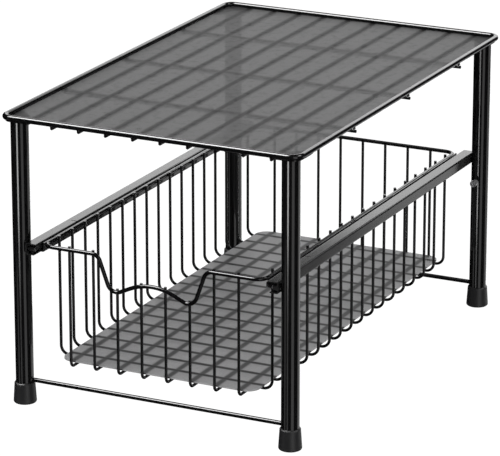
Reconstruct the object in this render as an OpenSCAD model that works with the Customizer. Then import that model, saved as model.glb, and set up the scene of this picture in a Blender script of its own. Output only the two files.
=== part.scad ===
// Pull-out wire basket on roller slides, hung under a small four-legged wire shelf.
// +Z is up, the basket pulls out towards -Y, and the origin is on the floor under the middle.

/* [Stand] */
// Height from the floor to the top of the shelf's rim
unit_h = 266.6; // [255:0.1:320]
// Distance between the leg centres, side to side
leg_span_x = 260; // [230:1:330]
// Distance between the leg centres, front to back
leg_span_y = 417; // [390:1:470]
// Outer diameter of a leg tube
leg_d = 16; // [14:0.5:20]
// Wall of a leg tube
leg_wall = 1; // [0.8:0.1:1.5]
// Diameter of the two rods that tie the legs near the floor
floor_rod_d = 4; // [3:0.2:6]
// Gap between the foot caps and those rods
floor_rod_gap = 1; // [0.5:0.5:8]

/* [Feet] */
// Height of a rubber foot cap
foot_h = 19; // [12:0.5:24]
// Wall of a foot cap at its mouth
foot_wall = 1.2; // [0.8:0.1:2]
// How much a foot cap's side leans out towards the floor
foot_flare = 1.1; // [0.5:0.1:2]
// Rubber under the end of the leg tube
foot_sole = 3; // [2:0.5:6]
// Radius of a foot cap's rounded bottom edge
foot_round = 1.75; // [1:0.25:2]

/* [Shelf] */
// Diameter of the rim rod round the shelf
rim_d = 5.2; // [4.5:0.1:6]
// Gap in plan between the legs and the rim rod
rim_gap = 0.65; // [0.3:0.05:2]
// Bend radius of the rim's corners, to the rod's centre
rim_bend_r = 9; // [7:0.5:14]
// Diameter of the wires under the shelf sheet
shelf_wire_d = 2.9; // [2.4:0.1:3.4]
// Number of wires that run lengthwise under the shelf
shelf_wire_count = 10; // [8:1:12]
// Spacing of the shelf's crosswise wires
shelf_cross_pitch = 115.5; // [90:0.5:120]
// How far the crosswise wires sit behind the middle
shelf_cross_shift = 10; // [0:0.5:12]
// Distance from a shelf wire's cut end in to the rim's outer edge
shelf_wire_inset = 1.3; // [0.5:0.1:3]
// Thickness of the sheet that lies on the shelf's wires
shelf_sheet_t = 1.2; // [0.8:0.1:2]
// Thickness of the steel plate in each corner of the shelf
plate_t = 1.3; // [1:0.1:2]
// How far a corner plate reaches past its leg
plate_lap = 2.25; // [1.5:0.25:4]
// How much longer a corner plate is along the side rim than along the end rim
plate_longer = 8.5; // [4:0.5:14]

/* [Rails] */
// Height of a rail's underside
rail_z = 141; // [125:0.5:150]
// Height of a rail's channel section
rail_h = 10.4; // [10.4:0.1:12]
// Width of a rail's channel section
rail_w = 11.3; // [11.3:0.1:13]
// Sheet thickness of the rails and the runners
slide_t = 1; // [0.8:0.05:1]
// Depth of the lip that hangs from a rail's inner edge
lip_h = 5; // [4:0.1:5.4]
// How far a rail's rear end stops behind the leg centres
rail_back = 3.5; // [2:0.5:8]
// How far the basket pulls out
travel = 335; // [250:1:345]
// Running gap between the sliding sheets
slide_gap = 0.5; // [0.4:0.05:0.6]
// Gap between a rail's lip and the runner beside it
side_gap = 1.9; // [1.2:0.1:2.5]

/* [Rollers] */
// Radius of a front roller, which carries the basket's runner
front_roller_r = 2.6; // [2.2:0.05:2.8]
// Free play of a rear roller between a rail's top and bottom, on each side
rear_roller_play = 0.25; // [0.2:0.05:0.4]
// Width of a roller
roller_w = 5; // [4:0.1:5.4]
// Diameter of the pins that the rollers turn on
pin_d = 2.4; // [1.8:0.1:2.6]
// Diameter of a pin's flat head
pin_head_d = 3.6; // [3:0.1:3.8]
// Thickness of a pin's flat head
pin_head_t = 0.7; // [0.5:0.1:0.8]
// Radial gap between a roller and its pin
pin_fit = 0.06; // [0.03:0.01:0.1]
// Gap between a front roller and the runner that it carries
roller_gap = 0.15; // [0.1:0.05:0.3]

/* [Basket] */
// Depth of the basket, from its top wire down to its lowest wires
basket_depth = 109; // [80:0.5:112]
// How far the basket's top wire sits below the top of the rails
top_drop = 1.5; // [0.5:0.1:2]
// How far the basket's front wire stands ahead of the front leg centres
front_lead = 4.5; // [0:0.5:6]
// How far the basket's back wire stays ahead of the rear leg centres
back_gap = 4.1; // [3:0.1:12]
// Diameter of the basket's top wire
top_wire_d = 3.6; // [3:0.1:4.2]
// Bend radius of the top wire's corners, to the wire's centre
top_bend_r = 10; // [8:0.5:14]
// Diameter of the basket's body wires
body_wire_d = 2.6; // [2.2:0.1:3]
// Spacing of the body wires that run crosswise
cross_pitch = 23.45; // [20:0.05:30]
// Distance from the front wire back to the first crosswise wire
first_cross = 24; // [20:0.5:30]
// Spacing of the body wires that run lengthwise
long_pitch = 23.4; // [20:0.1:30]
// Bend radius of the crosswise wires, to the wire's centre
cross_bend_r = 8; // [6:0.5:12]
// Bend radius of the lengthwise wires, to the wire's centre
long_bend_r = 5; // [4:0.5:8]
// How far the crosswise wires' tips stand above the top wire's centre
cross_tip = 2.8; // [2:0.1:4]
// How far the lengthwise wires' front tips stand above the front wire's centre
long_tip = 2.2; // [1:0.1:4]
// Thickness of the sheet on the basket's floor
basket_sheet_t = 1.2; // [0.8:0.1:2]
// Corner radius of the basket's sheet
basket_sheet_r = 12; // [6:0.5:20]

/* [Pull dip] */
// Depth of the dip's two low points under the top wire
dip_depth = 31.8; // [26:0.2:40]
// Distance from the middle to each low point
dip_half_w = 34.5; // [30:0.5:40]
// Height of the wave between the two low points
dip_wave_h = 10; // [5:0.5:10]
// Length of the straight flank on each side of the wave
dip_flank = 10.5; // [8:0.5:14]
// Bend radius at each low point, to the wire's centre
dip_low_r = 9; // [7:0.5:10]
// Bend radius where the dip leaves the straight front wire
dip_shoulder_r = 8; // [6:0.5:12]
// Steepness of the dip's sides, in degrees
dip_slope = 70; // [55:1:80]

/* [Rear screws] */
// Drop from the rails' underside to the screw on the front of each rear leg
screw_drop = 15.5; // [10:0.5:30]
// Diameter of the screw's shank
screw_d = 4; // [3:0.1:5]
// Diameter of the screw's head
screw_head_d = 6.4; // [5.5:0.1:8]
// Length of the screw's head
screw_head_l = 4; // [3:0.1:5]
// Length of bare shank between the leg and the head
screw_reach = 4.5; // [3:0.1:7]
// Width across the corners of the screw's six-sided socket
screw_socket = 3.4; // [2:0.1:4]

/* [Hidden] */
$fn = 48;
// How far two welded pieces sink into each other
weld = 0.2;
// Clearance between a pushed-on or loose piece and what holds it
fit = 0.05;
// Gap left round a sheet that is dropped into place, and at the stops
drop_gap = 0.3;
// How much thicker a rod is round a bend, and how far a straight runs on into it
bend_swell = 0.03;
bend_lap = 0.05;
// Overlap that lets a cut run cleanly past a face
cut = 1;
// Number of flats in each drawn arc of an outline
arc_steps = 8;
// Width of a corner plate's far tip, and how far its shorter edge stops from square
plate_tip = 5;
plate_short = 7.5;
// Chamfer round a foot cap's mouth
foot_edge = 0.4;
// Gap between the runner's flange and the rail's web
web_gap = 1.3;
// How far the rollers keep from the rail's web and from the runner's tongue
web_roller_gap = 0.8;
tongue_roller_gap = 0.5;
// Distance of a front roller from the rail's front end, and of a rear one from its leg
front_roller_back = 5;
rear_roller_ahead = 13.5;
// How far a runner goes on behind its roller, and stands above the top wire's centre
runner_tail = 6;
runner_rise = 1;
// How far a stop tab hangs from the rail's top, stands on its foot, and how wide both are
stop_h = 1.2;
home_stop_h = 3;
stop_w = 5.5;
// Gap between the ends of the basket's sheet and the upright wires
sheet_end_gap = 1.2;

// Legs, floor rods and shelf
leg_x = leg_span_x / 2;
leg_y = leg_span_y / 2;
leg_inner_x = leg_x - leg_d / 2;
leg_bore_d = leg_d - 2 * leg_wall;
floor_rod_z = foot_h + floor_rod_gap + floor_rod_d / 2;
rim_z = unit_h - rim_d / 2;
rim_x = leg_x + leg_d / 2 + rim_gap + rim_d / 2;
rim_y = leg_y + leg_d / 2 + rim_gap + rim_d / 2;
shelf_seat_z = unit_h - rim_d + weld;
shelf_wire_z = shelf_seat_z - shelf_wire_d / 2;
shelf_cross_z = shelf_wire_z - shelf_wire_d + weld;
shelf_end_x = rim_x + rim_d / 2 - shelf_wire_inset;
shelf_end_y = rim_y + rim_d / 2 - shelf_wire_inset;
plate_w = rim_x - leg_inner_x + plate_lap;
plate_wire_gap = 0.85;
shelf_room_x = rim_x - plate_w - plate_wire_gap - shelf_wire_d / 2;
shelf_pitch = 2 * shelf_room_x / (shelf_wire_count - 1);
leg_top_z = shelf_seat_z - plate_t;

// Section of the right-hand slide, from the leg inwards
rail_top_z = rail_z + rail_h;
rail_front_y = -leg_y - leg_d / 2;
rail_end_y = leg_y + rail_back;
web_out_x = leg_inner_x + weld;
web_in_x = web_out_x - slide_t;
lip_in_x = web_out_x - rail_w;
lip_out_x = lip_in_x + slide_t;
tongue_in_x = lip_out_x + slide_gap;
tongue_out_x = tongue_in_x + slide_t;
rail_foot_x = tongue_out_x + slide_gap;
runner_out_x = lip_in_x - side_gap;
runner_in_x = runner_out_x - slide_t;
runner_z = rail_z + slide_t + slide_gap;
// The runner's flange stays under the stop tab, and clear of the rail's web
flange_top_z = rail_top_z - slide_t - stop_h - drop_gap;
flange_z = flange_top_z - slide_t;
flange_out_x = web_in_x - web_gap;
// Bend radius of folded sheet, to the middle of its thickness
fold_r = 1.1;

// Basket wires
top_z = rail_top_z - top_drop;
top_x = runner_in_x + weld - top_wire_d / 2;
runner_top_z = top_z + runner_rise;
front_y = -leg_y - front_lead;
back_y = leg_y - back_gap;
wire_step = (top_wire_d + body_wire_d) / 2 - weld;
cross_x = top_x - wire_step;
long_front_y = front_y + wire_step;
long_back_y = back_y - wire_step;
long_z = top_z - basket_depth;
cross_z = long_z + body_wire_d - weld;
corner_room = 1.5 * top_bend_r;
cross_count = 1 + floor((back_y - front_y - first_cross - corner_room) / cross_pitch);
long_count = 2 * floor((cross_x - corner_room) / long_pitch + 0.5);
basket_sheet_z = cross_z + body_wire_d / 2;
basket_sheet_x = cross_x - cross_bend_r - drop_gap;
basket_sheet_gap = body_wire_d / 2 + sheet_end_gap;

// Rollers and stops
front_roller_y = rail_front_y + front_roller_back;
front_roller_z = flange_z - roller_gap - front_roller_r;
front_roller_x = web_in_x - web_roller_gap - roller_w;
rear_roller_r = rail_h / 2 - slide_t - rear_roller_play;
rear_roller_y = leg_y - rear_roller_ahead;
rear_roller_z = rail_z + rail_h / 2;
rear_roller_x = tongue_out_x + tongue_roller_gap;
runner_front_y = front_y + top_bend_r / 2;
runner_end_y = rear_roller_y + runner_tail;
// A tab lanced from the rail's top catches the rear roller when the basket is out
stop_reach = sqrt(pow(rear_roller_r, 2) - pow(rail_h / 2 - slide_t - stop_h, 2));
stop_y = rear_roller_y - travel - stop_reach - drop_gap;
// A tab lanced from the rail's bottom catches it when the basket is home
home_stop_y = rear_roller_y + rear_roller_r + drop_gap;

// Pull dip: arcs joined by the straight flanks that touch them
low_z = top_z - dip_depth;
dip_rise = dip_depth - (dip_low_r + dip_shoulder_r) * (1 - cos(dip_slope));
dip_run = dip_rise / sin(dip_slope);
shoulder_x = dip_half_w + (dip_low_r + dip_shoulder_r) * sin(dip_slope)
    + dip_run * cos(dip_slope);
wave_sum_r = (pow(dip_half_w, 2) + pow(dip_wave_h, 2) - pow(dip_flank, 2)) / (2 * dip_wave_h);
wave_r = wave_sum_r - dip_low_r;
wave_angle = atan2(dip_half_w, wave_sum_r - dip_wave_h) - atan2(dip_flank, wave_sum_r);
wave_end_x = wave_r * sin(wave_angle);
wave_end_z = low_z + dip_wave_h - wave_r * (1 - cos(wave_angle));

// ---- Bent rods ----

// One bend of a rod that heads along +X; a positive angle turns it left.
module rod_bend(d, r, angle) {
    translate([0, sign(angle) * r, 0])
        rotate([0, 0, angle > 0 ? -90 : 90 + angle])
            rotate_extrude(angle = abs(angle)) translate([r, 0]) circle(d = d + bend_swell);
}

// A rod bent in the XY plane, from the origin and heading along +X.
// Each step is [straight length, bend radius, bend angle].
module bent_rod(d, steps, i = 0) {
    run = steps[i][0];
    r = steps[i][1];
    angle = steps[i][2];
    if (run > 0)
        translate([-bend_lap, 0, 0]) rotate([0, 90, 0])
            cylinder(d = d, h = run + 2 * bend_lap);
    if (angle != 0)
        translate([run, 0, 0]) rod_bend(d, r, angle);
    if (i + 1 < len(steps))
        translate([run + r * sin(abs(angle)), sign(angle) * r * (1 - cos(angle)), 0])
            rotate([0, 0, angle]) bent_rod(d, steps, i + 1);
}

// A straight wire along +Y between two Y positions.
module wire_y(d, x, y0, y1, z) {
    translate([x, y0, z]) rotate([-90, 0, 0]) cylinder(d = d, h = y1 - y0);
}

// A straight wire along +X between two X positions.
module wire_x(d, x0, x1, y, z) {
    translate([x0, y, z]) rotate([0, 90, 0]) cylinder(d = d, h = x1 - x0);
}

// ---- Outlines of flat and folded sheet ----

// Points of an arc about a centre, between two angles.
function arc(centre, r, a0, a1) =
    [for (i = [0 : arc_steps])
        let (a = a0 + (a1 - a0) * i / arc_steps) centre + r * [cos(a), sin(a)]];

// Outline of a rectangle with rounded corners, from one corner to the other.
function rounded_rectangle(lo, hi, r) = concat(
    arc([hi[0] - r, hi[1] - r], r, 0, 90), arc([lo[0] + r, hi[1] - r], r, 90, 180),
    arc([lo[0] + r, lo[1] + r], r, 180, 270), arc([hi[0] - r, lo[1] + r], r, 270, 360));

function along(a) = [cos(a), sin(a)];
function left_of(a) = [-sin(a), cos(a)];

// Direction and place at which step i of a folded strip starts.
function fold_angle(a0, steps, i) =
    i == 0 ? a0 : fold_angle(a0, steps, i - 1) + steps[i - 1][1];
function fold_place(p0, a0, steps, i) =
    i == 0 ? p0 :
    let (a = fold_angle(a0, steps, i - 1), turn = steps[i - 1][1], side = fold_r * sign(turn))
        fold_place(p0, a0, steps, i - 1) + steps[i - 1][0] * along(a)
            + side * (left_of(a) - left_of(a + turn));

// One edge of a folded strip, at an offset to the left of its middle.
// Each step is [flat length, fold angle]; the last one has no fold.
function fold_edge(p0, a0, steps, offset) = [
    for (i = [0 : len(steps) - 1])
        let (p = fold_place(p0, a0, steps, i), a = fold_angle(a0, steps, i),
            q = p + steps[i][0] * along(a), turn = steps[i][1], side = fold_r * sign(turn))
            each concat([p + offset * left_of(a)], turn == 0
                ? [q + offset * left_of(a)]
                : [for (k = [0 : arc_steps - 1])
                    let (b = a + turn * k / arc_steps)
                        q + side * left_of(a) + (offset - side) * left_of(b)])
];

// A strip of sheet, folded in section and drawn out between two Y positions.
module folded_strip(p0, a0, steps, y0, y1) {
    left = fold_edge(p0, a0, steps, slide_t / 2);
    right = fold_edge(p0, a0, steps, -slide_t / 2);
    back = [for (i = [len(right) - 1 : -1 : 0]) right[i]];
    translate([0, y1, 0]) rotate([90, 0, 0]) linear_extrude(y1 - y0)
        polygon(concat(left, back));
}

// Puts a right-hand piece on the side sx, where -1 is the left.
module on_side(sx) {
    if (sx > 0) children();
    else mirror([1, 0, 0]) children();
}

// ---- Shelf ----

module shelf_rim() {
    side = 2 * (rim_y - rim_bend_r);
    end = 2 * (rim_x - rim_bend_r);
    color("black") translate([rim_bend_r - rim_x, -rim_y, rim_z])
        bent_rod(rim_d, [[end, rim_bend_r, 90], [side, rim_bend_r, 90],
            [end, rim_bend_r, 90], [side, rim_bend_r, 90]]);
}

module shelf_long_wires() {
    color("black") for (i = [0 : shelf_wire_count - 1])
        wire_y(shelf_wire_d, -shelf_room_x + i * shelf_pitch,
            -shelf_end_y, shelf_end_y, shelf_wire_z);
}

module shelf_cross_wires() {
    color("black") for (i = [-1 : 1])
        wire_x(shelf_wire_d, -shelf_end_x, shelf_end_x,
            i * shelf_cross_pitch + shelf_cross_shift, shelf_cross_z);
}

// Smoked sheet that lies on the wires, inside the rim.
module shelf_sheet() {
    half = [rim_x, rim_y] - (rim_d / 2 + drop_gap) * [1, 1];
    color("dimgray", 0.7) translate([0, 0, shelf_seat_z]) linear_extrude(shelf_sheet_t)
        polygon(rounded_rectangle(-half, half, rim_bend_r - rim_d / 2 - drop_gap));
}

// Steel plate under a corner of the rim, which closes the top of the leg.
module corner_plate(sx, sy) {
    long = plate_w + plate_longer;
    color("black") translate([sx * rim_x, sy * rim_y, leg_top_z]) mirror([sx > 0 ? 1 : 0, 0, 0])
        mirror([0, sy > 0 ? 1 : 0, 0]) linear_extrude(plate_t)
            polygon(concat(arc(rim_bend_r * [1, 1], rim_bend_r, 180, 270),
                [[plate_w, 0], [plate_w, plate_w - plate_short], [plate_tip, long], [0, long]]));
}

// ---- Stand ----

// Steel tube; the rear ones have a hole for the screw on their front.
module leg(sx, sy) {
    color("black") translate([sx * leg_x, sy * leg_y, foot_sole]) difference() {
        cylinder(d = leg_d, h = leg_top_z - foot_sole);
        translate([0, 0, -cut]) cylinder(d = leg_bore_d, h = leg_top_z - foot_sole + 2 * cut);
        if (sy > 0)
            translate([0, 0, rail_z - screw_drop - foot_sole]) rotate([90, 0, 0])
                cylinder(d = screw_d + 2 * fit, h = leg_d);
    }
}

// Rubber cap pushed onto the bottom of a leg.
module foot(sx, sy) {
    mouth_r = leg_d / 2 + fit + foot_wall;
    base_r = mouth_r + foot_flare;
    bore_r = leg_d / 2 + fit;
    color("dimgray") translate([sx * leg_x, sy * leg_y, 0]) rotate_extrude() polygon(concat(
        [[0, 0]], arc([base_r - foot_round, foot_round], foot_round, 270, 360),
        [[mouth_r, foot_h - foot_edge], [mouth_r - foot_edge, foot_h],
            [bore_r, foot_h], [bore_r, foot_sole], [0, foot_sole]]));
}

// Rod that ties the left and right legs just above the feet.
module floor_rod(sy) {
    end = leg_inner_x + leg_wall / 2;
    color("black") wire_x(floor_rod_d, -end, end, sy * leg_y, floor_rod_z);
}

// Bright socket-head screws on the fronts of the rear legs.
module rear_leg_screws() {
    wall_y = leg_y - leg_d / 2;
    color("silver") for (sx = [-1, 1])
        translate([sx * leg_x, wall_y + leg_wall, rail_z - screw_drop]) rotate([90, 0, 0])
            difference() {
                union() {
                    cylinder(d = screw_d, h = leg_wall + screw_reach + cut);
                    translate([0, 0, leg_wall + screw_reach])
                        cylinder(d = screw_head_d, h = screw_head_l);
                }
                translate([0, 0, leg_wall + screw_reach + screw_head_l / 2])
                    cylinder(d = screw_socket, h = screw_head_l, $fn = 6);
            }
}

// ---- Rails, which stay with the stand ----

// Channel that opens downwards inside: foot, web, top and lip, with its two stop tabs.
module rail(sx) {
    foot_run = web_in_x + slide_t / 2 - fold_r - rail_foot_x;
    top_run = rail_w - slide_t - 2 * fold_r;
    web_run = rail_h - slide_t - 2 * fold_r;
    lip_run = lip_h - slide_t / 2 - fold_r;
    color("dimgray") on_side(sx) difference() {
        union() {
            folded_strip([rail_foot_x, rail_z + slide_t / 2], 0,
                [[foot_run, 90], [web_run, 90], [top_run, 90], [lip_run, 0]],
                rail_front_y, rail_end_y);
            translate([lip_out_x, stop_y - slide_t, rail_top_z - slide_t - stop_h])
                cube([stop_w, slide_t, stop_h + slide_t / 2]);
            translate([rail_foot_x + slide_t, home_stop_y, rail_z + slide_t / 2])
                cube([stop_w, slide_t, home_stop_h + slide_t / 2]);
        }
        translate([lip_in_x - cut, stop_y, rail_top_z - 1.5 * slide_t])
            cube([stop_w + slide_t + cut, stop_h, 3 * slide_t]);
        translate([rail_foot_x + slide_t, home_stop_y + slide_t, rail_z - cut])
            cube([stop_w, home_stop_h, slide_t + 2 * cut]);
        translate([web_in_x - cut, front_roller_y, front_roller_z]) rotate([0, 90, 0])
            cylinder(d = pin_d + 2 * fit, h = slide_t + 2 * cut);
    }
}

// Pin through the rail's web, with its head on the basket's side of the roller.
module front_pin(sx) {
    head_x = front_roller_x - pin_fit - pin_head_t;
    color("silver") on_side(sx) translate([head_x, front_roller_y, front_roller_z])
        rotate([0, 90, 0]) {
            cylinder(d = pin_head_d, h = pin_head_t);
            cylinder(d = pin_d, h = web_out_x - head_x);
        }
}

// ---- Rollers ----

module roller(sx, x, y, z, r) {
    color("black") on_side(sx) translate([x, y, z]) rotate([0, 90, 0]) difference() {
        cylinder(r = r, h = roller_w);
        translate([0, 0, -cut]) cylinder(d = pin_d + 2 * pin_fit, h = roller_w + 2 * cut);
    }
}

module front_roller(sx) {
    roller(sx, front_roller_x, front_roller_y, front_roller_z, front_roller_r);
}

module rear_roller(sx) {
    roller(sx, rear_roller_x, rear_roller_y, rear_roller_z, rear_roller_r);
}

// ---- Basket ----

// Height of the front wire's centre at a distance x from the middle.
function front_wire_z(x) =
    let (side_x = abs(x), low_end_x = dip_half_w + dip_low_r * sin(dip_slope),
        low_end_z = low_z + dip_low_r * (1 - cos(dip_slope)))
    side_x <= wave_end_x
        ? low_z + dip_wave_h - wave_r + sqrt(pow(wave_r, 2) - pow(side_x, 2)) :
    side_x <= dip_half_w - dip_low_r * sin(wave_angle)
        ? wave_end_z - (side_x - wave_end_x) * tan(wave_angle) :
    side_x <= low_end_x
        ? low_z + dip_low_r - sqrt(pow(dip_low_r, 2) - pow(side_x - dip_half_w, 2)) :
    side_x <= shoulder_x - dip_shoulder_r * sin(dip_slope)
        ? low_end_z + (side_x - low_end_x) * tan(dip_slope) :
    side_x <= shoulder_x
        ? top_z - dip_shoulder_r
            + sqrt(pow(dip_shoulder_r, 2) - pow(shoulder_x - side_x, 2)) :
    top_z;

// Closed wire round the basket's mouth, bent down into the pull dip at the front.
module basket_top_wire() {
    flat = top_x - top_bend_r - shoulder_x;
    low_turn = dip_slope + wave_angle;
    end = 2 * (top_x - top_bend_r);
    side = back_y - front_y - 2 * top_bend_r;
    color("black") {
        translate([-end / 2, front_y, top_z]) rotate([90, 0, 0]) bent_rod(top_wire_d, [
            [flat, dip_shoulder_r, -dip_slope], [dip_run, dip_low_r, low_turn],
            [dip_flank, wave_r, -2 * wave_angle], [dip_flank, dip_low_r, low_turn],
            [dip_run, dip_shoulder_r, -dip_slope], [flat, 0, 0]]);
        translate([end / 2, front_y, top_z]) bent_rod(top_wire_d, [[0, top_bend_r, 90],
            [side, top_bend_r, 90], [end, top_bend_r, 90], [side, top_bend_r, 90]]);
    }
}

// U-shaped wires that run down one side, across the floor and up the other side.
module basket_cross_wires() {
    side = top_z + cross_tip - cross_z - cross_bend_r;
    floor_run = 2 * (cross_x - cross_bend_r);
    color("black") for (i = [0 : cross_count - 1])
        translate([-cross_x, front_y + first_cross + i * cross_pitch, top_z + cross_tip])
            rotate([0, 90, -90]) bent_rod(body_wire_d,
                [[side, cross_bend_r, 90], [floor_run, cross_bend_r, 90], [side, 0, 0]]);
}

// U-shaped wires that run down the front, along the floor and up the back.
// Each front leg is cut to length under the dip of the top wire.
module basket_long_wires() {
    floor_run = long_back_y - long_front_y - 2 * long_bend_r;
    color("black") for (i = [0 : long_count - 1]) {
        x = (i - (long_count - 1) / 2) * long_pitch;
        tip_z = front_wire_z(x) + long_tip;
        down = tip_z - long_z - long_bend_r;
        up = top_z - long_z - long_bend_r;
        translate([x, long_front_y, tip_z]) rotate([0, 90, 0]) bent_rod(body_wire_d,
            [[down, long_bend_r, 90], [floor_run, long_bend_r, 90], [up, 0, 0]]);
    }
}

// Translucent sheet that lies on the floor wires, between their bends.
module basket_sheet() {
    lo = [-basket_sheet_x, long_front_y + basket_sheet_gap];
    hi = [basket_sheet_x, long_back_y - basket_sheet_gap];
    color("gray", 0.7) translate([0, 0, basket_sheet_z]) linear_extrude(basket_sheet_t)
        polygon(rounded_rectangle(lo, hi, basket_sheet_r));
}

// ---- Runners, which go with the basket ----

// Strip beside the top wire that hooks under the rail's lip and rides on the front roller.
module runner(sx) {
    half = slide_t / 2;
    plate_run = runner_top_z - runner_z - half - fold_r;
    under_run = tongue_out_x - runner_in_x - slide_t - 2 * fold_r;
    tongue_run = flange_top_z - runner_z - slide_t - 2 * fold_r;
    flange_run = flange_out_x - tongue_in_x - half - fold_r;
    notch_y = rear_roller_y - rear_roller_r - 2 * drop_gap;
    color("black") on_side(sx) difference() {
        folded_strip([runner_in_x + half, runner_top_z], -90,
            [[plate_run, 90], [under_run, 90], [tongue_run, -90], [flange_run, 0]],
            runner_front_y, runner_end_y);
        translate([tongue_out_x, notch_y, flange_z - fold_r])
            cube([flange_out_x, runner_end_y - notch_y + cut, slide_t + fold_r + cut]);
        translate([tongue_in_x - cut, rear_roller_y, rear_roller_z]) rotate([0, 90, 0])
            cylinder(d = pin_d + 2 * fit, h = slide_t + 2 * cut);
    }
}

// Pin through the runner's tongue, with its head on the rail's side of the roller.
module rear_pin(sx) {
    head_x = rear_roller_x + roller_w + pin_fit;
    color("silver") on_side(sx) translate([tongue_in_x, rear_roller_y, rear_roller_z])
        rotate([0, 90, 0]) {
            cylinder(d = pin_d, h = head_x + pin_head_t - tongue_in_x);
            translate([0, 0, head_x - tongue_in_x])
                cylinder(d = pin_head_d, h = pin_head_t);
        }
}

shelf_rim();
shelf_long_wires();
shelf_cross_wires();
shelf_sheet();
corner_plate(-1, -1);  // front_left_plate
corner_plate(1, -1);  // front_right_plate
corner_plate(-1, 1);  // rear_left_plate
corner_plate(1, 1);  // rear_right_plate
leg(-1, -1);  // front_left_leg
leg(1, -1);  // front_right_leg
leg(-1, 1);  // rear_left_leg
leg(1, 1);  // rear_right_leg
foot(-1, -1);  // front_left_foot
foot(1, -1);  // front_right_foot
foot(-1, 1);  // rear_left_foot
foot(1, 1);  // rear_right_foot
floor_rod(-1);  // front_floor_rod
floor_rod(1);  // rear_floor_rod
rear_leg_screws();
rail(-1);  // left_rail
rail(1);  // right_rail
front_pin(-1);  // left_front_pin
front_pin(1);  // right_front_pin
front_roller(-1);  // left_front_roller
front_roller(1);  // right_front_roller
basket_top_wire();
basket_cross_wires();
basket_long_wires();
basket_sheet();
runner(-1);  // left_runner
runner(1);  // right_runner
rear_pin(-1);  // left_rear_pin
rear_pin(1);  // right_rear_pin
rear_roller(-1);  // left_rear_roller
rear_roller(1);  // right_rear_roller
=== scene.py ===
import math
import random

import bmesh
import bpy
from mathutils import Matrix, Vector


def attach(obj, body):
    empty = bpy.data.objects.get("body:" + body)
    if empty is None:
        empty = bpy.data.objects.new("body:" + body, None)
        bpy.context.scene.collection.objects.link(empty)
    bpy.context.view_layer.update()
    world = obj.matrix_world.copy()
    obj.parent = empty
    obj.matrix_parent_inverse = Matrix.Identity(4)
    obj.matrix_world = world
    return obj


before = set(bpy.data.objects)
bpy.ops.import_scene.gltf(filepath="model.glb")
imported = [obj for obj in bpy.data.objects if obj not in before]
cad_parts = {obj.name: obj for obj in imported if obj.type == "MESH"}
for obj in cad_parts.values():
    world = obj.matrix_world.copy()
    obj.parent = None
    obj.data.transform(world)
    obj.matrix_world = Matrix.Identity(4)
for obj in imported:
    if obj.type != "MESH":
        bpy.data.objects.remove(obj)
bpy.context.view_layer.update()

# ---- Shelf rim and shelf wires ----
# One steel rod bent into the shelf's rim, with ten lengthwise and three crosswise wires
# welded under it. All of it is powder coated black and cured to a high gloss.


class Signal:
    """A value, colour or vector on its way through a material's nodes."""

    def __init__(self, tree, socket):
        self.tree = tree
        self.socket = socket

    @classmethod
    def node(cls, tree, kind, settings=None, sockets=None, output=0):
        """Adds a node: its settings first, then the values or links of its sockets."""
        made = tree.nodes.new("ShaderNode" + kind)
        for name, value in (settings or {}).items():
            if name == "stops":
                made.color_ramp.elements.remove(made.color_ramp.elements[1])
                made.color_ramp.elements[0].position = value[0][0]
                made.color_ramp.elements[0].color = value[0][1]
                for place, colour in value[1:]:
                    made.color_ramp.elements.new(place).color = colour
            else:
                setattr(made, name, value)
        for name, value in (sockets or {}).items():
            if isinstance(value, Signal):
                tree.links.new(value.socket, made.inputs[name])
            else:
                made.inputs[name].default_value = value
        return cls(tree, made.outputs[output])

    def maths(self, operation, first, second):
        return self.node(self.tree, "Math", {"operation": operation}, {0: first, 1: second})

    def __add__(self, other):
        return self.maths("ADD", self, other)

    def __radd__(self, other):
        return self.maths("ADD", other, self)

    def __sub__(self, other):
        return self.maths("SUBTRACT", self, other)

    def __rsub__(self, other):
        return self.maths("SUBTRACT", other, self)

    def __mul__(self, other):
        return self.maths("MULTIPLY", self, other)

    def __rmul__(self, other):
        return self.maths("MULTIPLY", other, self)

    def at_least(self, other):
        return self.maths("MAXIMUM", self, other)

    def size(self):
        return self.maths("ABSOLUTE", self, 0.0)

    def from_nearest(self, first, pitch):
        """Distance to the nearest of a row of lines, one at first and one every pitch."""
        return self.maths("PINGPONG", self - first, pitch / 2)

    def fade(self, near, far):
        """1 below near, 0 above far, and a soft slope between."""
        return self.node(self.tree, "MapRange", {"interpolation_type": "SMOOTHSTEP"},
                         {"Value": self, "From Min": near, "From Max": far,
                          "To Min": 1.0, "To Max": 0.0})

    def ramp(self, *stops):
        """A grey value by way of a colour ramp. A stop is a place and its grey."""
        full = [(place, (grey, grey, grey, 1)) for place, grey in stops]
        return self.node(self.tree, "ValToRGB", {"stops": full}, {"Fac": self})

    def blend(self, low, high):
        """A colour between low and high, by this value."""
        return self.node(self.tree, "Mix", {"data_type": "RGBA"},
                         {"Factor": self, 6: low, 7: high}, 2)


def new_finish(name, metallic, ior, gloss=0.5):
    """A material with its constant sockets set; returns it, its nodes and its shader."""
    material = bpy.data.materials.new(name)
    material.use_nodes = True
    tree = material.node_tree
    surface = tree.nodes["Principled BSDF"]
    surface.inputs["Metallic"].default_value = metallic
    surface.inputs["IOR"].default_value = ior
    surface.inputs["Specular IOR Level"].default_value = gloss
    return material, tree, surface


def noise(tree, place, scale, detail):
    return Signal.node(tree, "TexNoise", {},
                       {"Vector": place, "Scale": scale, "Detail": detail}, "Fac")


def bump(tree, surface, height, strength, distance):
    """Feeds the shader's normal from a height."""
    normal = Signal.node(tree, "Bump", {},
                         {"Height": height, "Strength": strength, "Distance": distance})
    tree.links.new(normal.socket, surface.inputs["Normal"])


def link(signal, surface, name):
    signal.tree.links.new(signal.socket, surface.inputs[name])


DUST_ROUGHNESS = 0.03
PEEL_DEPTH = 0.00006


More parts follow.
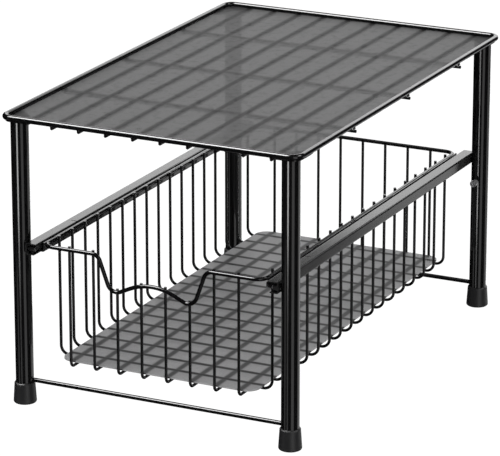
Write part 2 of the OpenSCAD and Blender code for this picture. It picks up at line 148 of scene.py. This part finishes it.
def powder_coat(name, dark, light, smooth, rough, peel):
    """Gloss powder coat: orange peel, slow changes of tone, and dust where it faces up.
    Smooth and rough are the ends of its roughness, and peel is how strong the orange peel is."""
    material, tree, surface = new_finish(name, 0.0, 1.5)
    place = Signal.node(tree, "TexCoord", output="Object")
    cloud = noise(tree, place, 38.0, 3.0)
    grain = noise(tree, place, 900.0, 2.0)
    speck = noise(tree, place, 2600.0, 1.0)
    facing = Signal.node(tree, "NewGeometry", output="Normal")
    up = Signal.node(tree, "SeparateXYZ", {}, {"Vector": facing}, "Z").at_least(0.0)
    dust = up * noise(tree, place, 210.0, 4.0).ramp((0.45, 0.0), (0.75, 1.0))
    link(cloud.blend(dark, light), surface, "Base Color")
    link(cloud * (rough - smooth) + dust * DUST_ROUGHNESS + smooth, surface, "Roughness")
    bump(tree, surface, grain * 0.8 + speck * 0.2, peel, PEEL_DEPTH)
    return material


def dress(material, *names):
    """Gives CAD nodes a finish."""
    for name in names:
        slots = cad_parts[name].data.materials
        slots.clear()
        slots.append(material)


def add_piece(name, mesh, body, material):
    """Turns a bmesh in millimetres into a smooth piece that rides on a body."""
    bmesh.ops.recalc_face_normals(mesh, faces=mesh.faces)
    bmesh.ops.scale(mesh, vec=(0.001, 0.001, 0.001), verts=mesh.verts)
    data = bpy.data.meshes.new(name)
    mesh.to_mesh(data)
    mesh.free()
    for face in data.polygons:
        face.use_smooth = True
    piece = bpy.data.objects.new(name, data)
    bpy.context.scene.collection.objects.link(piece)
    data.materials.append(material)
    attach(piece, body)


def skin(mesh, rows):
    """Joins rows of points into a tube, and closes its two ends."""
    made = [[mesh.verts.new(point) for point in row] for row in rows]
    for low, high in zip(made, made[1:]):
        for i in range(len(low)):
            j = (i + 1) % len(low)
            mesh.faces.new((low[i], low[j], high[j], high[i]))
    mesh.faces.new(made[0][::-1])
    mesh.faces.new(made[-1])


# A bead's rings lie at these angles from its top, and its height is a share of its reach.
BEAD_SIDES = 12
BEAD_LEVELS = (0.35, 0.8, 1.25, 1.57, 1.89, 2.34, 2.79)
BEAD_HEIGHT = 0.42


def weld_spots(name, body, reach, spots):
    """Fused steel squeezed out where two rods cross. A spot is a place and its normal."""
    mesh = bmesh.new()
    chance = random.Random(name)
    for place, normal in spots:
        turn = Vector(normal).to_track_quat("Z", "Y")
        spread = reach * chance.uniform(0.9, 1.12)
        lean = chance.uniform(-0.12, 0.12)
        rows = []
        for level in BEAD_LEVELS:
            row = []
            for step in range(BEAD_SIDES):
                angle = math.tau * (step + 0.5) / BEAD_SIDES
                lobe = 0.86 + 0.2 * math.sin(2 * angle) ** 2
                lobe += lean * math.sin(3 * angle + lean * 40)
                out = spread * lobe * math.sin(level) ** 0.6
                row.append(Vector(place) + turn @ Vector((
                    out * math.cos(angle), out * math.sin(angle),
                    BEAD_HEIGHT * reach * math.cos(level))))
            rows.append(row)
        skin(mesh, rows)
    add_piece(name, mesh, body, rod_paint)


SEAM_SIDES = 10
SEAM_STEP = 0.35
SEAM_RIPPLE = 0.09


def weld_seams(name, body, width, seams):
    """Short runs of rippled weld bead, each from one point to another."""
    mesh = bmesh.new()
    chance = random.Random(name)
    for start, end in seams:
        start, end = Vector(start), Vector(end)
        along = (end - start).normalized()
        side = along.orthogonal().normalized()
        other = along.cross(side)
        count = max(8, int((end - start).length / SEAM_STEP))
        phase = chance.uniform(0, 6)
        rows = []
        for i in range(count + 1):
            share = i / count
            taper = min(1.0, 0.25 + 3.2 * math.sqrt(min(share, 1 - share)))
            ripple = 1 + SEAM_RIPPLE * math.sin(share * count * SEAM_STEP * 5.2 + phase)
            radius = width / 2 * taper * ripple * chance.uniform(0.97, 1.03)
            centre = start.lerp(end, share)
            turns = [math.tau * step / SEAM_SIDES for step in range(SEAM_SIDES)]
            rows.append([centre + radius * (math.cos(turn) * side + math.sin(turn) * other)
                         for turn in turns])
        skin(mesh, rows)
    add_piece(name, mesh, body, rod_paint)


ROD_BLACK = (0.0016, 0.0016, 0.0018, 1)
ROD_WARM = (0.0040, 0.0039, 0.0040, 1)
rod_paint = powder_coat("rod_gloss_black", ROD_BLACK, ROD_WARM, 0.10, 0.17, 0.10)
dress(rod_paint, "shelf_rim", "shelf_long_wires", "shelf_cross_wires")

RIM_X, RIM_Y = 141.25, 219.75
SHELF_WIRES_X = [-117.45 + 26.1 * i for i in range(10)]
SHELF_WIRES_Y = [-105.5, 10.0, 125.5]
SHELF_CROSSING_Z = 258.8
RIM_UNDERSIDE_Z = 261.5
UP = (0, 0, 1)
weld_spots("shelf_wire_welds", "stand", 1.5,
           [((x, y, SHELF_CROSSING_Z), UP) for x in SHELF_WIRES_X for y in SHELF_WIRES_Y])
weld_spots("shelf_rim_welds", "stand", 1.9,
           [((x, side * RIM_Y, RIM_UNDERSIDE_Z), UP) for x in SHELF_WIRES_X for side in (-1, 1)])
# The crosswise wires end under the rim; a pad of weld fills the gap below it.
PAD_INNER_X, PAD_INNER_Z = RIM_X - 1.6, 259.6
PAD_OUTER_X, PAD_OUTER_Z = RIM_X + 0.4, 260.9
weld_seams("shelf_rim_pads", "stand", 2.6,
           [((side * PAD_INNER_X, y, PAD_INNER_Z), (side * PAD_OUTER_X, y, PAD_OUTER_Z))
            for side in (-1, 1) for y in SHELF_WIRES_Y])

# ---- Corner plates ----
# Steel plates punched with a long nose, welded under the rim's corners. Each one closes
# the top of a leg and takes the same coat as the rod.

dress(rod_paint, "front_left_plate", "front_right_plate", "rear_left_plate", "rear_right_plate")

LEG_X, LEG_Y = 130.0, 208.5
CORNERS = [(sx, sy) for sx in (-1, 1) for sy in (-1, 1)]
PLATE_WELD_Z = 261.2
PLATE_WELD_OUT = 0.2
plate_seams = []
for sx, sy in CORNERS:
    side_x, end_y = sx * (RIM_X + PLATE_WELD_OUT), sy * (RIM_Y + PLATE_WELD_OUT)
    plate_seams.append(((side_x, sy * (RIM_Y - 13), PLATE_WELD_Z),
                        (side_x, sy * (RIM_Y - 25), PLATE_WELD_Z)))
    plate_seams.append(((sx * (RIM_X - 11), end_y, PLATE_WELD_Z),
                        (sx * (RIM_X - 20), end_y, PLATE_WELD_Z)))
weld_seams("plate_welds", "stand", 1.5, plate_seams)

# ---- Shelf sheet ----
# A sheet of smoked, see-through plastic, cut with round corners and laid on the wires
# inside the rim. Its top is satin, and the shade of the wires and plates under it is painted on
# as soft dark lines.


SHEET_GLOSS = 0.07
SATIN_ROUGHNESS = 0.44
SCUFF_ROUGHNESS = 0.08
SATIN_GRAIN_DEPTH = 0.00005


def smoked_sheet(name, dark, light, shade, cover, painted_shade):
    """Satin smoked plastic. Cover is how much one face hides of what is behind it. The last
    argument takes x and y and gives where shade is painted for what lies under the sheet: there
    the colour turns to shade and the sheet hides more."""
    material, tree, surface = new_finish(name, 0.0, 1.45, SHEET_GLOSS)
    place = Signal.node(tree, "TexCoord", output="Object")
    x = Signal.node(tree, "SeparateXYZ", {}, {"Vector": place}, "X")
    y = Signal.node(tree, "SeparateXYZ", {}, {"Vector": place}, "Y")
    cloud = noise(tree, place, 9.0, 3.0)
    mottle = noise(tree, place, 650.0, 2.0)
    grain = noise(tree, place, 1500.0, 2.0)
    scuff = noise(tree, place, 130.0, 5.0).ramp((0.52, 0.0), (0.7, 1.0))
    # Painted shade: where something lies under the sheet, its colour turns to the shade colour.
    under = painted_shade(x, y)
    tone = (cloud * 0.5 + mottle * 0.5).blend(dark, light)
    link(under.blend(tone, shade), surface, "Base Color")
    link(cloud * 0.03 + under * 0.12 + cover, surface, "Alpha")
    link(scuff * SCUFF_ROUGHNESS + SATIN_ROUGHNESS, surface, "Roughness")
    bump(tree, surface, grain, 0.12, SATIN_GRAIN_DEPTH)
    return material


def shelf_painted_shade(x, y):
    """Painted shade for the wires and the corner plates under the shelf's sheet. From the
    camera's angle, a wire that lies lower shows through further to the front and right, and its
    shade is painted there."""
    long_wires = x.from_nearest(0.0145, 0.0261).fade(0.0012, 0.0044)
    cross_wires = y.from_nearest(-0.001, 0.1155).fade(0.0010, 0.0058)
    in_x = RIM_X / 1000 - x.size()
    in_y = RIM_Y / 1000 - y.size()
    plates = in_x.fade(0.0205, 0.0225) * (in_y + in_x * 0.97).fade(0.0338, 0.0362)
    return long_wires.at_least(cross_wires * 0.65).at_least(plates * 0.55)


# SHELF_SHADE is the colour of the painted shade of the wires and plates under the sheet.
SHELF_SMOKE = (0.032, 0.032, 0.0325, 1)
SHELF_SMOKE_LIGHT = (0.078, 0.078, 0.079, 1)
SHELF_SHADE = (0.009, 0.009, 0.0094, 1)
SHELF_COVER = 0.77
dress(smoked_sheet("shelf_smoke", SHELF_SMOKE, SHELF_SMOKE_LIGHT, SHELF_SHADE, SHELF_COVER,
                   shelf_painted_shade), "shelf_sheet")

# ---- Legs ----
# Steel tubes of 16 mm with a bright, mirror-like black coat. Each stands in a rubber cap
# and ends under its corner plate.

tube_paint = powder_coat("tube_gloss_black", ROD_BLACK, ROD_WARM, 0.06, 0.11, 0.05)
dress(tube_paint, "front_left_leg", "front_right_leg", "rear_left_leg", "rear_right_leg")


ROUND_STEPS = 48
COLLAR_RINGS = 7


def weld_collars(name, body, inner, outer, height, places):
    """Hollow-faced weld round a tube or rod. A place is its foot, its axis and a function
    that says how far the surface under it falls away at an offset from the axis."""
    mesh = bmesh.new()
    chance = random.Random(name)
    for foot, axis, fall in places:
        turn = Vector(axis).to_track_quat("Z", "Y")
        phase = chance.uniform(0, 6)
        rows = [[] for _ in range(COLLAR_RINGS)]
        for step in range(ROUND_STEPS):
            angle = math.tau * step / ROUND_STEPS
            wave = 1 + 0.05 * math.sin(9 * angle + phase) + 0.03 * math.sin(23 * angle)
            for level, row in enumerate(rows):
                share = level / (COLLAR_RINGS - 1)
                flare = wave * (1 - math.sin(share * math.pi / 2))
                radius = inner - 0.1 + (outer - inner + 0.1) * flare
                rise = height * wave * (1 - math.cos(share * math.pi / 2)) - 0.05
                spot = turn @ Vector((radius * math.cos(angle), radius * math.sin(angle), rise))
                sink = Vector(axis) * -fall(spot.y, spot.z) * (1 - share)
                row.append(Vector(foot) + spot + sink)
        skin(mesh, rows)
    add_piece(name, mesh, body, rod_paint)


LEG_R = 8.0
LEG_TOP_Z = 260.3
weld_collars("leg_top_welds", "stand", LEG_R, 8.9, 0.9,
             [((sx * LEG_X, sy * LEG_Y, LEG_TOP_Z), (0, 0, -1), lambda y, z: 0.0)
              for sx, sy in CORNERS])

# ---- Foot caps ----
# Moulded rubber caps, pushed onto the ends of the legs. They flare towards the floor and
# have a matte skin.

FOOT_DARK = (0.006, 0.006, 0.0065, 1)
FOOT_LIGHT = (0.012, 0.012, 0.013, 1)
foot_rubber, tree, surface = new_finish("foot_rubber", 0.0, 1.5)
place = Signal.node(tree, "TexCoord", output="Object")
height = Signal.node(tree, "SeparateXYZ", {}, {"Vector": place}, "Z")
moulded = noise(tree, place, 120.0, 4.0)
# The rubber's colour turns paler in the last few millimetres above the floor.
paler_near_floor = height.fade(0.0005, 0.004)
link((moulded * 0.8 + paler_near_floor * 0.5).blend(FOOT_DARK, FOOT_LIGHT), surface, "Base Color")
link(noise(tree, place, 60.0, 3.0) * 0.12 + 0.36, surface, "Roughness")
bump(tree, surface, noise(tree, place, 1900.0, 3.0), 0.3, 0.00010)
dress(foot_rubber, "front_left_foot", "front_right_foot", "rear_left_foot", "rear_right_foot")

# The mouth of each cap is squeezed up into a thin, slightly wavy lip against the tube.
FOOT_TOP_Z = 19.0
LIP_BASE_Z = 18.6
lips = bmesh.new()
for number, (sx, sy) in enumerate(CORNERS):
    rows = [[] for _ in range(5)]
    for step in range(ROUND_STEPS):
        angle = math.tau * step / ROUND_STEPS
        lift = FOOT_TOP_Z + 0.35 + 0.18 * math.sin(5 * angle + number)
        lift += 0.08 * math.sin(11 * angle)
        section = ((LEG_R, LIP_BASE_Z), (9.15, LIP_BASE_Z), (9.0, lift - 0.25), (8.6, lift),
                   (LEG_R, lift + 0.1))
        for row, (radius, z) in zip(rows, section):
            row.append(Vector((sx * LEG_X + radius * math.cos(angle),
                               sy * LEG_Y + radius * math.sin(angle), z)))
    skin(lips, rows)
add_piece("foot_lips", lips, "stand", foot_rubber)

# ---- Floor rods ----
# Two thin rods, welded between the left and the right leg just above the caps, which keep
# the legs from spreading.

dress(rod_paint, "front_floor_rod", "rear_floor_rod")
LEG_INNER_X = LEG_X - LEG_R
FLOOR_ROD_Z = 22.0


def leg_falls(y, z):
    """How far a leg's round side falls away at y from its innermost line."""
    return LEG_R - math.sqrt(LEG_R ** 2 - min(y * y, 60.0))


weld_collars("floor_rod_welds", "stand", 2.0, 3.1, 1.2,
             [((sx * LEG_INNER_X, sy * LEG_Y, FLOOR_ROD_Z), (-sx, 0, 0), leg_falls)
              for sx, sy in CORNERS])

# ---- Rear leg screws ----
# Bright screws of zinc-plated steel, driven into the fronts of the rear legs. The pins that
# the rollers turn on are of the same steel.

STEEL_DARK = (0.42, 0.42, 0.43, 1)
STEEL_LIGHT = (0.72, 0.72, 0.73, 1)
bright_steel, tree, surface = new_finish("zinc_steel", 0.9, 1.5)
place = Signal.node(tree, "TexCoord", output="Object")
link(noise(tree, place, 500.0, 3.0).blend(STEEL_DARK, STEEL_LIGHT), surface, "Base Color")
link(noise(tree, place, 900.0, 3.0) * 0.15 + 0.22, surface, "Roughness")
bump(tree, surface, noise(tree, place, 3000.0, 2.0), 0.2, 0.00004)
dress(bright_steel, "rear_leg_screws", "left_front_pin", "right_front_pin",
      "left_rear_pin", "right_rear_pin")

# ---- Rails ----
# Channels of folded sheet steel, welded to the inner sides of the legs. Tabs lanced from
# the top and the foot stop the basket at both ends of its travel.

RAIL_BLACK = (0.006, 0.006, 0.0062, 1)
RAIL_LIGHT = (0.012, 0.012, 0.0122, 1)
rail_paint = powder_coat("rail_gloss_black", RAIL_BLACK, RAIL_LIGHT, 0.16, 0.24, 0.16)
dress(rail_paint, "left_rail", "right_rail")
RAIL_OUTER_X = 122.25
RAIL_WELD_LOW, RAIL_WELD_HIGH = 142.6, 150.2
weld_seams("rail_welds", "stand", 1.4, [
    ((sx * RAIL_OUTER_X, sy * LEG_Y + side, RAIL_WELD_LOW),
     (sx * RAIL_OUTER_X, sy * LEG_Y + side, RAIL_WELD_HIGH))
    for sx, sy in CORNERS for side in (-2.5, 2.5)])

# ---- Rollers ----
# Small nylon rollers on headed pins: two in the rails' front ends carry the runners, and
# two behind on the runners roll inside the rails.

NYLON_DARK = (0.004, 0.004, 0.0042, 1)
NYLON_LIGHT = (0.009, 0.009, 0.0093, 1)
roller_nylon, tree, surface = new_finish("roller_nylon", 0.0, 1.53)
place = Signal.node(tree, "TexCoord", output="Object")
link(noise(tree, place, 400.0, 3.0).blend(NYLON_DARK, NYLON_LIGHT), surface, "Base Color")
link(noise(tree, place, 700.0, 2.0) * 0.15 + 0.35, surface, "Roughness")
bump(tree, surface, noise(tree, place, 2500.0, 2.0), 0.25, 0.00006)
dress(roller_nylon, "left_front_roller", "right_front_roller",
      "left_rear_roller", "right_rear_roller")

# ---- Basket wires ----
# A top wire bent into the pull dip, and U-shaped body wires welded inside it across and
# along the basket, all dipped in the same gloss black.

dress(rod_paint, "basket_top_wire", "basket_cross_wires", "basket_long_wires")

CROSS_Y = [-189.0 + 23.45 * i for i in range(17)]
LONG_X = [-81.9 + 23.4 * i for i in range(8)]
# The body wires touch the top wire's inner side on these lines, and each other at the floor.
BASKET_TOP_Z = 149.9
BASKET_CROSSING_Z = 42.1
BASKET_SIDE_X = 104.7
BASKET_BACK_Y = 202.7
BASKET_FRONT_Y = -211.3
weld_spots("basket_floor_welds", "basket", 1.35,
           [((x, y, BASKET_CROSSING_Z), UP) for x in LONG_X for y in CROSS_Y])
weld_spots("basket_side_welds", "basket", 1.5,
           [((side * BASKET_SIDE_X, y, BASKET_TOP_Z), (1, 0, 0))
            for side in (-1, 1) for y in CROSS_Y])
weld_spots("basket_back_welds", "basket", 1.5,
           [((x, BASKET_BACK_Y, BASKET_TOP_Z), (0, 1, 0)) for x in LONG_X])
# The front wires meet the dip at these heights, from the middle outwards.
DIP_MEETS = {11.7: 126.712, 35.1: 118.12, 58.5: BASKET_TOP_Z, 81.9: BASKET_TOP_Z}
weld_spots("basket_front_welds", "basket", 1.5,
           [((side * x, BASKET_FRONT_Y, z), (0, 1, 0))
            for side in (-1, 1) for x, z in DIP_MEETS.items()])

# ---- Basket sheet ----
# The same smoked plastic, a paler cut of it, laid loose on the basket's crosswise wires
# between their bends.


def basket_painted_shade(x, y):
    """Painted shade for the floor wires under the basket's sheet. Those across it touch it, and
    their shade is painted darkest.
    """
    across = y.from_nearest(-0.189, 0.02345).fade(0.0013, 0.0038)
    along = x.from_nearest(-0.0819, 0.0234).fade(0.0012, 0.0046)
    return across.at_least(along * 0.9)


BASKET_SMOKE = (0.15, 0.15, 0.152, 1)
BASKET_SMOKE_LIGHT = (0.31, 0.31, 0.313, 1)
# BASKET_SHADE is the colour of the painted shade of the floor wires under the sheet.
BASKET_SHADE = (0.016, 0.016, 0.0165, 1)
BASKET_COVER = 0.85
dress(smoked_sheet("floor_smoke", BASKET_SMOKE, BASKET_SMOKE_LIGHT, BASKET_SHADE, BASKET_COVER,
                   basket_painted_shade), "basket_sheet")

# ---- Runners ----
# Strips folded like a J, welded along the basket's top wire. They hook under the rails'
# lips and ride on the front rollers.

dress(rail_paint, "left_runner", "right_runner")
RUNNER_WELD_X, RUNNER_WELD_Z = 107.95, 150.75
RUNNER_WELD_LENGTH = 11
weld_seams("runner_welds", "basket", 1.3, [
    ((sx * RUNNER_WELD_X, y, RUNNER_WELD_Z),
     (sx * RUNNER_WELD_X, y + RUNNER_WELD_LENGTH, RUNNER_WELD_Z))
    for sx in (-1, 1) for y in (-198.0, -118.0, -38.0, 42.0, 122.0, 182.0)])

# ---- Studio ----
# A pale floor lit from within, so that no shadow falls on it, under an even sky that doesn't
# mirror in the gloss. Soft boxes alone show there, as narrow highlights on a deep black.

bpy.ops.mesh.primitive_plane_add(size=60.0, location=(0, 0, 0))
floor = bpy.context.object
floor.name = "studio_floor"
floor.visible_glossy = False
floor.visible_shadow = False
GLOW_PALE = (0.985, 0.985, 0.985, 1)
GLOW_WHITE = (1, 1, 1, 1)
floor_white, tree, surface = new_finish("studio_floor", 0.0, 1.45, 0.0)
place = Signal.node(tree, "TexCoord", output="Object")
link(noise(tree, place, 3.0, 2.0).blend(GLOW_PALE, GLOW_WHITE), surface, "Emission Color")
surface.inputs["Emission Strength"].default_value = 1.06
surface.inputs["Base Color"].default_value = (0.004, 0.004, 0.004, 1)
floor.data.materials.append(floor_white)

SKY_LIGHT = 1.9
world = bpy.data.worlds.new("studio_sky")
bpy.context.scene.world = world
world.use_nodes = True
world.node_tree.nodes["Background"].inputs["Color"].default_value = (1, 1, 1, 1)
world.node_tree.nodes["Background"].inputs["Strength"].default_value = SKY_LIGHT
world.cycles_visibility.glossy = False


MIDDLE = Vector((0, 0, 0.13))


def light_panel(name, place, width, height, radiance, only_on=()):
    """A rectangular area light of that size and brightness, aimed at the part's middle. It
    shows on every piece, or only on the named nodes."""
    data = bpy.data.lights.new(name, "AREA")
    data.shape = "RECTANGLE"
    data.size, data.size_y = width, height
    data.energy = radiance * math.pi * width * height
    lamp = bpy.data.objects.new(name, data)
    bpy.context.scene.collection.objects.link(lamp)
    lamp.location = place
    lamp.rotation_euler = (MIDDLE - place).to_track_quat("-Z", "Y").to_euler()
    lamp.visible_diffuse = False
    lamp.visible_camera = False
    if only_on:
        lit = bpy.data.collections.new(name + "_lit")
        for node in only_on:
            lit.objects.link(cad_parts[node])
        lamp.light_linking.receiver_collection = lit


def soft_box(name, turn, reach, width, low, high, radiance, only_on=()):
    """An upright or leaning soft box that shows in the gloss. It stands at an angle of turn
    from the front, towards +X, and at a reach from the middle. Its half width is in degrees,
    and low and high are the heights, in metres, of its edges."""
    turn = math.radians(turn)
    way = Vector((math.sin(turn), -math.cos(turn), 0))
    bottom, top = way * reach + Vector((0, 0, low)), way * reach + Vector((0, 0, high))
    light_panel(name, (bottom + top) / 2, 2 * reach * math.tan(math.radians(width)),
                high - low, radiance, only_on)


light_panel("overhead_box", Vector((-1.25, -0.94, 2.69)), 1.6, 1.5, 24.0)
soft_box("back_panel", 190.0, 4.0, 28.0, 0.3, 2.9, 1.9)
soft_box("back_bright", 180.0, 3.8, 12.0, 1.6, 2.6, 2.0)
soft_box("right_back_panel", 131.0, 4.0, 12.0, -2.0, -0.3, 0.85)
soft_box("right_back_near", 160.0, 1.0, 11.0, -0.6, -0.03, 1.0)
soft_box("right_front_panel", 50.0, 4.0, 15.0, -3.0, 0.8, 1.0)
# The streaks down the legs fade towards the floor, and only the legs show these.
FRONT_LEGS = ("front_left_leg", "front_right_leg")
soft_box("leg_strip_top", -9.0, 3.0, 8.0, -0.70, 0.4, 8.5, FRONT_LEGS)
soft_box("leg_strip_high", -9.0, 3.0, 8.0, -0.76, -0.70, 4.5, FRONT_LEGS)
soft_box("leg_strip_middle", -9.0, 3.0, 8.0, -0.82, -0.76, 1.8, FRONT_LEGS)
soft_box("leg_strip_low", -9.0, 3.0, 7.0, -1.3, -0.82, 0.7, FRONT_LEGS)
soft_box("rear_leg_strip", 0.0, 3.0, 7.0, -0.92, 0.3, 8.0, ("rear_right_leg",))
soft_box("rear_leg_strip_low", 0.0, 3.0, 7.0, -1.3, -0.92, 1.2, ("rear_right_leg",))
# These four are for the views from behind and from the sides.
light_panel("rear_key", Vector((2.05, 0.3, 2.3)), 1.2, 1.0, 9.0)
soft_box("front_panel", 48.0, 4.0, 16.0, 0.7, 2.6, 1.3)
soft_box("rear_strip", 196.0, 3.0, 5.0, -1.0, -0.5, 3.0)
soft_box("left_low_panel", -42.0, 3.0, 8.0, -1.3, -0.82, 0.6)

# The camera stands front right, above the shelf, with a long lens.
camera_data = bpy.data.cameras.new("photo_camera")
camera_data.sensor_width = 36.0
camera_data.lens = 251.785
camera = bpy.data.objects.new("photo_camera", camera_data)
bpy.context.scene.collection.objects.link(camera)
camera.location = (1.323464, -2.729337, 1.103016)
camera.rotation_euler = (math.radians(90 - 17.9666), 0.0, math.radians(26.0411))
bpy.context.scene.camera = camera
bpy.context.scene.view_settings.view_transform = "Standard"
